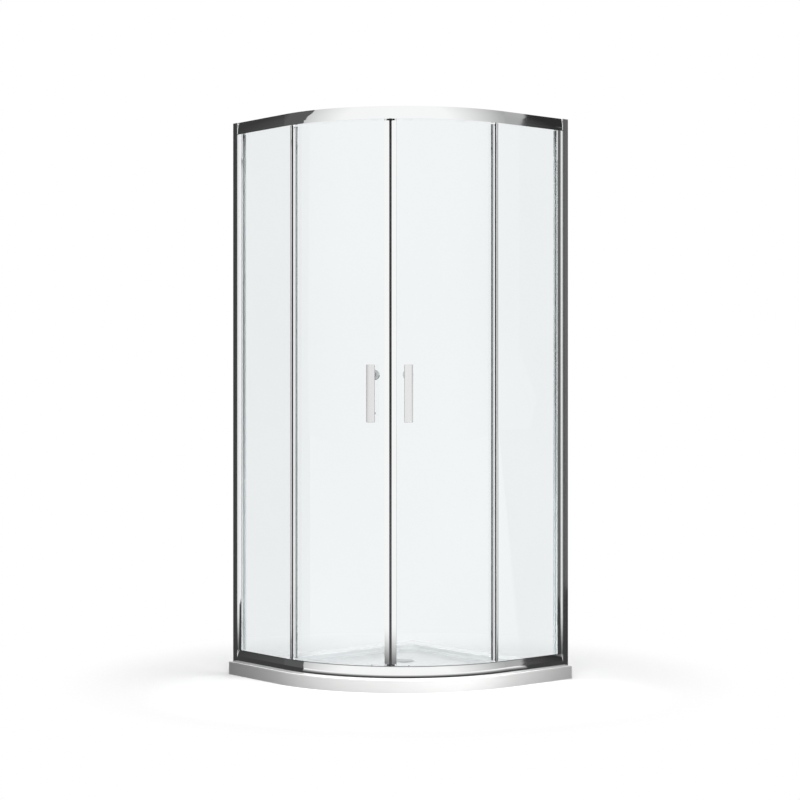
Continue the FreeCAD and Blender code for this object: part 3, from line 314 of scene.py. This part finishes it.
def mirrored_floor(pale):
    """The floor as it is mirrored: dark beside the tray and to both sides, white further off in front."""
    near = pale.node("ShaderNodeVectorMath", operation="DISTANCE")
    pale.link(pale.place, near.inputs[0])
    near.inputs[1].default_value = BOW_AXIS
    tone = map_range(pale.tree, MIRROR_FADE, "SMOOTHSTEP")
    pale.link(near.outputs["Value"], tone.inputs["Value"])
    seen = tone.outputs["Result"]
    for at, heading in (LEFT_SHADE, RIGHT_SHADE):
        across = Vector((math.cos(math.radians(heading)), math.sin(math.radians(heading)), 0))
        beside = pale.node("ShaderNodeVectorMath", operation="DOT_PRODUCT")
        pale.link(pale.place, beside.inputs[0])
        beside.inputs[1].default_value = across
        edge = across.dot(Vector(at))
        side = map_range(pale.tree, (edge, edge + SHADE_EDGE, 1.0, MIRROR_DARK))
        pale.link(beside.outputs["Value"], side.inputs["Value"])
        least = pale.node("ShaderNodeMath", operation="MINIMUM")
        pale.link(seen, least.inputs[0])
        pale.link(side.outputs["Result"], least.inputs[1])
        seen = least.outputs[0]
    glow = pale.node("ShaderNodeEmission")
    pale.link(seen, glow.inputs["Strength"])
    return glow.outputs["Emission"]


def pale_floor():
    """A pale floor that keeps the shadow near the object and runs out to white further off.

    Light that bounces off it is dimmed, so that the ends of the tray's front stay darker than its middle."""
    bpy.ops.mesh.primitive_plane_add(size=FLOOR_SIZE, location=(0, 0, 0))
    floor = bpy.context.object
    floor.name = "floor"
    pale = Material("floor_pale", 0.9)
    seen = seen_rays(pale.tree)
    drift = pale.ramp(pale.noise(FLOOR_DRIFT), TONE_STOPS, FLOOR_TONES)
    shown = pale.node("ShaderNodeMix", data_type="RGBA")
    shown.inputs[MIX_FIRST].default_value = FLOOR_BOUNCE
    pale.link(seen, shown.inputs[MIX_FACTOR])
    pale.link(drift, shown.inputs[MIX_SECOND])
    pale.link(shown.outputs[MIX_COLOUR], pale.shader.inputs["Base Color"])
    length = pale.node("ShaderNodeVectorMath", operation="LENGTH")
    pale.link(pale.place, length.inputs[0])
    fade = map_range(pale.tree, (FADE_START, FADE_END, 0, 1), "SMOOTHSTEP")
    pale.link(length.outputs["Value"], fade.inputs["Value"])
    share = pale.node("ShaderNodeMath", operation="MULTIPLY")
    pale.link(fade.outputs["Result"], share.inputs[0])
    pale.link(seen, share.inputs[1])
    white = pale.node("ShaderNodeEmission")
    surface = pale.shader.outputs["BSDF"]
    for factor, over in ((share.outputs[0], white.outputs["Emission"]),
                         (mirrored_rays(pale.tree), mirrored_floor(pale))):
        mix = pale.node("ShaderNodeMixShader")
        pale.link(factor, mix.inputs["Fac"])
        pale.link(surface, mix.inputs[1])
        pale.link(over, mix.inputs[2])
        surface = mix.outputs["Shader"]
    pale.link(surface, pale.tree.nodes["Material Output"].inputs["Surface"])
    floor.data.materials.append(pale.data)


def lamp(name, at, aim, size, energy):
    """A soft square lamp that lights without being seen, mirrored or seen through glass."""
    data = bpy.data.lights.new(name, "AREA")
    data.shape = "SQUARE"
    data.size = size
    data.energy = energy
    item = bpy.data.objects.new(name, data)
    bpy.context.scene.collection.objects.link(item)
    item.location = at
    item.rotation_euler = (Vector(aim) - Vector(at)).to_track_quat("-Z", "Y").to_euler()
    item.visible_camera = False
    item.visible_glossy = False
    item.visible_transmission = False


def card(name, wall, corners, near, far):
    """An upright card that shows only in reflections, on the plane x or y = wall[1].

    corners are (place along the card, height), near and far are (place along the card, tone)."""
    axis, place = wall
    other = "Y" if axis == "X" else "X"
    tinted = Material(name, 1.0)
    places = tinted.node("ShaderNodeSeparateXYZ")
    tinted.link(tinted.place, places.inputs[0])
    tone = map_range(tinted.tree, (near[0], far[0], near[1], far[1]))
    tinted.link(places.outputs[other], tone.inputs["Value"])
    glow = tinted.node("ShaderNodeEmission")
    tinted.link(tone.outputs["Result"], glow.inputs["Strength"])
    tinted.link(glow.outputs["Emission"], tinted.tree.nodes["Material Output"].inputs["Surface"])
    points = [(place, along, height) if axis == "X" else (along, place, height) for along, height in corners]
    data = bpy.data.meshes.new(name)
    data.from_pydata(points, [], [tuple(range(len(points)))])
    data.materials.append(tinted.data)
    item = bpy.data.objects.new(name, data)
    bpy.context.scene.collection.objects.link(item)
    item.visible_camera = False
    item.visible_diffuse = False
    item.visible_transmission = False
    item.visible_shadow = False


def view():
    """The photograph's camera."""
    scene = bpy.context.scene
    camera = bpy.data.objects.new("camera", bpy.data.cameras.new("camera"))
    scene.collection.objects.link(camera)
    camera.data.sensor_width = CAMERA_SENSOR
    camera.data.lens = CAMERA_LENS
    camera.data.shift_y = CAMERA_SHIFT_Y
    camera.location = CAMERA_AT
    camera.rotation_euler = (math.radians(90), 0, math.radians(CAMERA_AZIMUTH))
    scene.camera = camera
    scene.view_settings.view_transform = "Standard"


white_world()
pale_floor()
for lamp_name, settings in LAMPS.items():
    lamp(lamp_name, *settings)
for card_name, settings in CARDS.items():
    card(card_name, *settings)
view()
